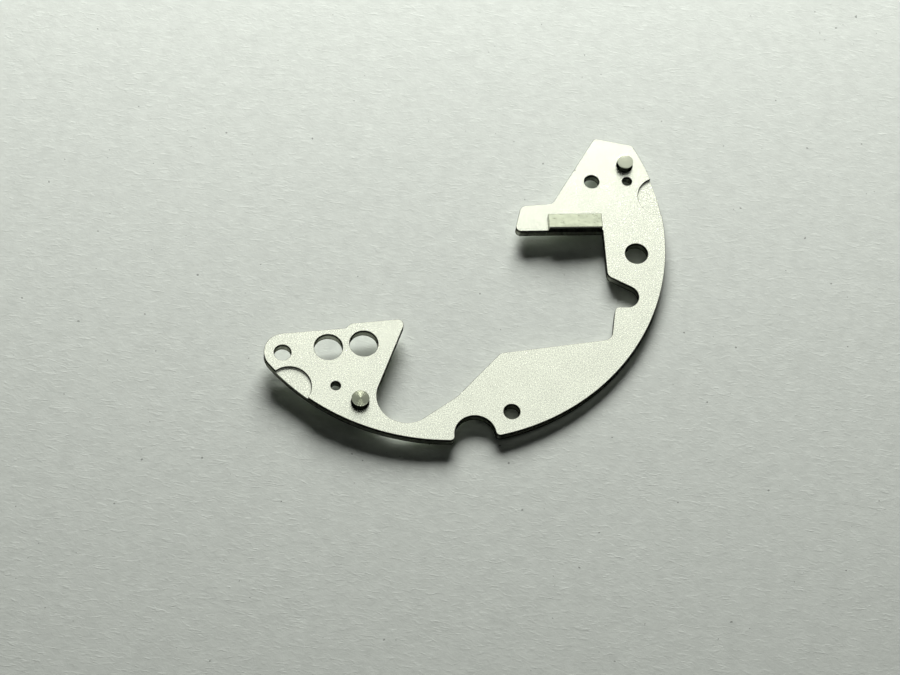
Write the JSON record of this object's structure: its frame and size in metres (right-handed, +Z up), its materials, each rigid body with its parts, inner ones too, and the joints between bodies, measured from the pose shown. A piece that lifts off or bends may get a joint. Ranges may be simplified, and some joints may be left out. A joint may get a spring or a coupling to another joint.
{
  "type": "watch movement plate",
  "caption": "Crescent plate of a round watch movement with a pierced wing, a bent arm with a raised pad, casing recesses in its rim and pressed-in steady pins.",
  "frame": {"origin": "on the axis of the movement's rim, in the plane of the plate's underside", "axes": "+X to the right towards the arm, +Y away from the wing towards the head, +Z up out of the face with the raised pad"},
  "size_m": [0.0216, 0.0208, 0.0016],
  "materials": {
    "blasted_plate": "bead-blasted and plated in a pale pearl silver, matte",
    "pin_steel": "turned, bright, with fine turning marks on the ends"
  },
  "bodies": {
    "root": {"crescent_plate": "blasted_plate", "left_steady_pin": "pin_steel", "right_steady_pin": "pin_steel"}
  },
  "joints": []
}
